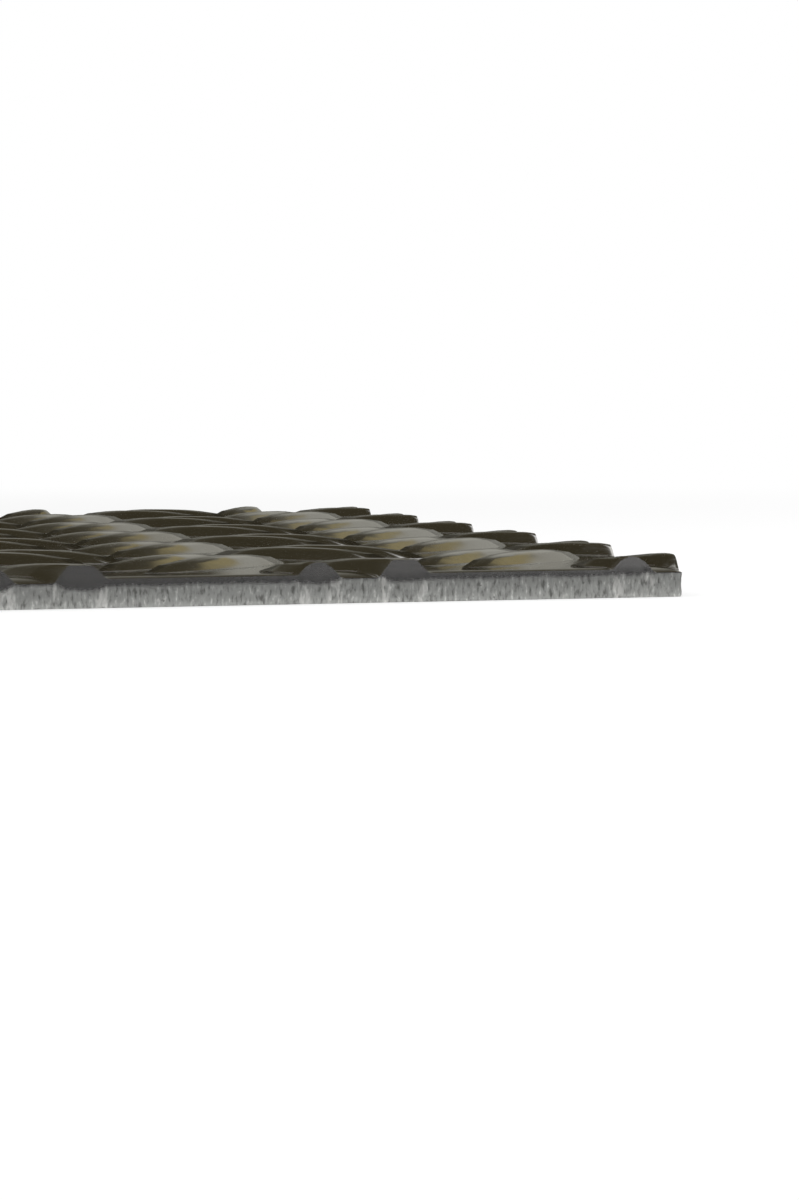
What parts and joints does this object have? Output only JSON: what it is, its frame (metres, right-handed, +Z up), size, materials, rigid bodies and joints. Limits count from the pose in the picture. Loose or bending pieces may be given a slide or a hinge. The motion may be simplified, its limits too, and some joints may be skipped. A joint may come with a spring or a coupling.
{
  "type": "aluminum tread plate",
  "caption": "Flat rolled aluminium plate with raised lens-shaped tread bars in alternating pairs on its top face, for anti-slip floors, steps and ramps.",
  "frame": {"origin": "middle of the underside, on the surface that the plate lies on", "axes": "+X along the longer side, +Y along the shorter side, away from the sheared front side, +Z up out of the tread face"},
  "size_m": [0.25, 0.2, 0.005],
  "materials": {
    "rolled_aluminium": "bright rolled mill finish with sheared sides"
  },
  "bodies": {
    "root": {"tread_plate": "rolled_aluminium"}
  },
  "joints": []
}
